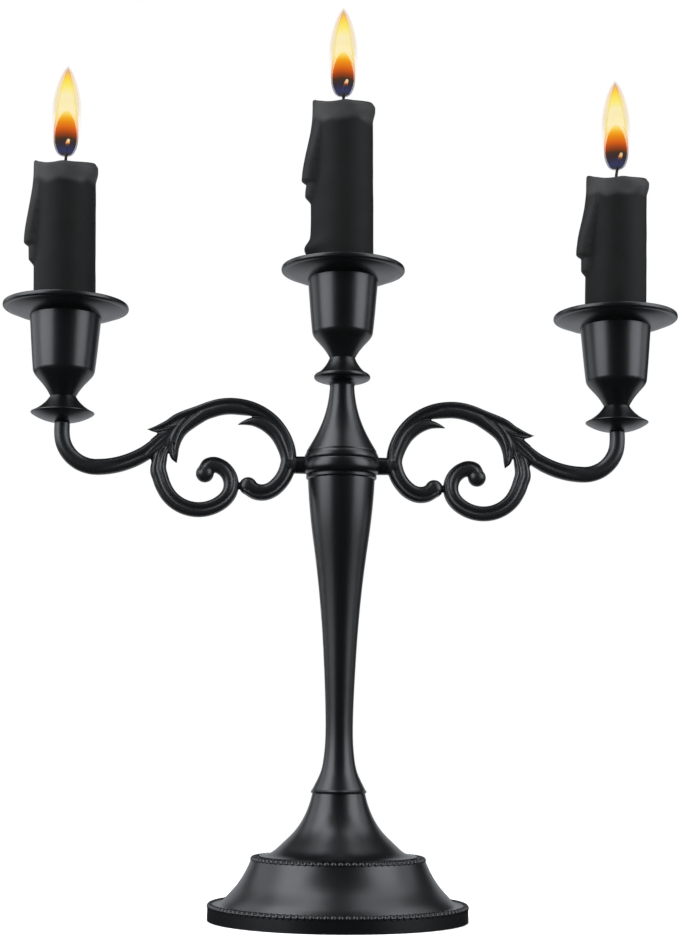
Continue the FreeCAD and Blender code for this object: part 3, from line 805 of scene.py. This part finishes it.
# %% [markdown]
# ## Camera
# The camera stands 0.69 m in front, low, and tilts up by about nine degrees, so the drip pans
# are seen from a little below and the base from a little above. The arms are turned three
# degrees from square to the view. All of it is in the camera's place, since the object keeps
# its axes.

# %% Camera
FOCAL_SHARE = 1.861
CAMERA_PLACE = Vector((0.81, -687.8, 69.9)) * MM
PITCH = 0.1512
PAN = 0.0023
ROLL = 0.0087
ARM_YAW = 0.0516


def make_camera():
    data = bpy.data.cameras.new("camera")
    data.lens = FOCAL_SHARE * data.sensor_width
    data.clip_start = 0.01
    camera = bpy.data.objects.new("camera", data)
    bpy.context.scene.collection.objects.link(camera)
    aim = Matrix.Rotation(PAN, 4, "Z") @ Matrix.Rotation(math.pi / 2 + PITCH, 4, "X")
    aim @= Matrix.Rotation(ROLL, 4, "Z")
    camera.matrix_world = Matrix.Rotation(-ARM_YAW, 4, "Z") @ Matrix.Translation(CAMERA_PLACE) @ aim
    bpy.context.scene.camera = camera
    print("lens", round(data.lens, 2), "mm")


make_camera()

# %% [markdown]
# ## Floor, light and room
# The floor is white studio paper, which blends into plain white further out, so that no horizon
# shows. Two wide softboxes stand left and right in front and draw the long highlights on the
# stem and cups. Dimmer cards beside them carry the light round the edges, two high ones light
# the base, and a card and a sheet of paper behind are what the pans' undersides reflect.
# Reflections otherwise meet a dim room and not the floor, so that the enamel stays black between
# the highlights, while the camera and matt surfaces see plain white.

# %% Stage and lights
ROOM_GLOW = 0.03
PAPER_NEAR, PAPER_FAR = 0.1, 0.45
LIGHT_AIM_HEIGHT = 0.18


def make_stage():
    bm = bmesh.new()
    bmesh.ops.create_grid(bm, x_segments=1, y_segments=1, size=4.0)
    mesh = bpy.data.meshes.new("floor")
    bm.to_mesh(mesh)
    bm.free()
    floor = bpy.data.objects.new("floor", mesh)
    bpy.context.scene.collection.objects.link(floor)
    made, tree = material("white_studio_paper")
    place = add(tree, "ShaderNodeTexCoord").outputs["Object"]
    grain = add(tree, "ShaderNodeTexNoise", inputs={"Vector": place, "Scale": 1 / (4 * MM), "Detail": 4.0})
    shade = ramp(tree, grain.outputs["Fac"], [(0.3, "#f5f5f5"), (0.7, "#f8f8f8")])
    shader = add(tree, "ShaderNodeBsdfPrincipled", inputs={"Base Color": shade, "Roughness": 0.9})
    away = add(tree, "ShaderNodeVectorMath", {"operation": "LENGTH"}, {0: place})
    far = add(tree, "ShaderNodeMapRange", inputs={
        "Value": away.outputs["Value"], "From Min": PAPER_NEAR, "From Max": PAPER_FAR})
    glow = add(tree, "ShaderNodeEmission", inputs={"Color": linear("#ffffff"), "Strength": 1.0})
    both = add(tree, "ShaderNodeMixShader", inputs={
        0: far.outputs["Result"], 1: shader.outputs["BSDF"], 2: glow.outputs[0]})
    add(tree, "ShaderNodeOutputMaterial", inputs={"Surface": both.outputs[0]})
    mesh.materials.append(made)
    floor.visible_glossy = False


def softbox(name, azimuth, elevation, distance, width, height, watts):
    """A rectangular light that faces the candelabrum's middle. Azimuth 0 is the camera's side."""
    data = bpy.data.lights.new(name, "AREA")
    data.shape, data.size, data.size_y, data.energy = "RECTANGLE", width, height, watts
    light = bpy.data.objects.new(name, data)
    bpy.context.scene.collection.objects.link(light)
    a, e = math.radians(azimuth), math.radians(elevation)
    out = Vector((math.sin(a) * math.cos(e), -math.cos(a) * math.cos(e), math.sin(e)))
    light.location = Vector((0, 0, LIGHT_AIM_HEIGHT)) + out * distance
    light.rotation_euler = out.to_track_quat("Z", "Y").to_euler()
    light.visible_camera = False
    data.color = linear("#f4f9ff")[:3]
    return light


def make_room():
    world = bpy.data.worlds.new("studio")
    bpy.context.scene.world = world
    world.use_nodes = True
    tree = world.node_tree
    tree.nodes.clear()
    seen = add(tree, "ShaderNodeBackground", inputs={"Color": linear("#ffffff"), "Strength": 1.0})
    room = add(tree, "ShaderNodeBackground", inputs={"Color": linear("#ffffff"), "Strength": ROOM_GLOW})
    path = add(tree, "ShaderNodeLightPath")
    both = add(tree, "ShaderNodeMixShader", inputs={
        0: path.outputs["Is Glossy Ray"], 1: seen.outputs[0], 2: room.outputs[0]})
    add(tree, "ShaderNodeOutputWorld", inputs={"Surface": both.outputs[0]})


make_stage()
make_room()
softbox("left_softbox", -63, 18, 1.1, 0.92, 0.9, 11.5)
softbox("right_softbox", 62, 18, 1.1, 0.80, 0.9, 9.5)
softbox("left_wing_card", -110, 18, 1.1, 0.80, 0.9, 3.4)
softbox("right_wing_card", 100, 18, 1.1, 0.45, 0.9, 1.8)
softbox("high_left_softbox", -78, 58, 1.2, 0.8, 0.8, 9)
softbox("high_right_softbox", 78, 58, 1.2, 0.8, 0.8, 5.5)
softbox("backdrop_card", 180, 8, 1.5, 1.9, 0.75, 3.2)
sweep = softbox("paper_sweep", 180, 0, 0.68, 1.6, 1.05, 4.7)
sweep.location.z = 2 * MM
sweep.rotation_euler = (math.pi, 0, 0)
bpy.context.scene.view_settings.view_transform = "Standard"
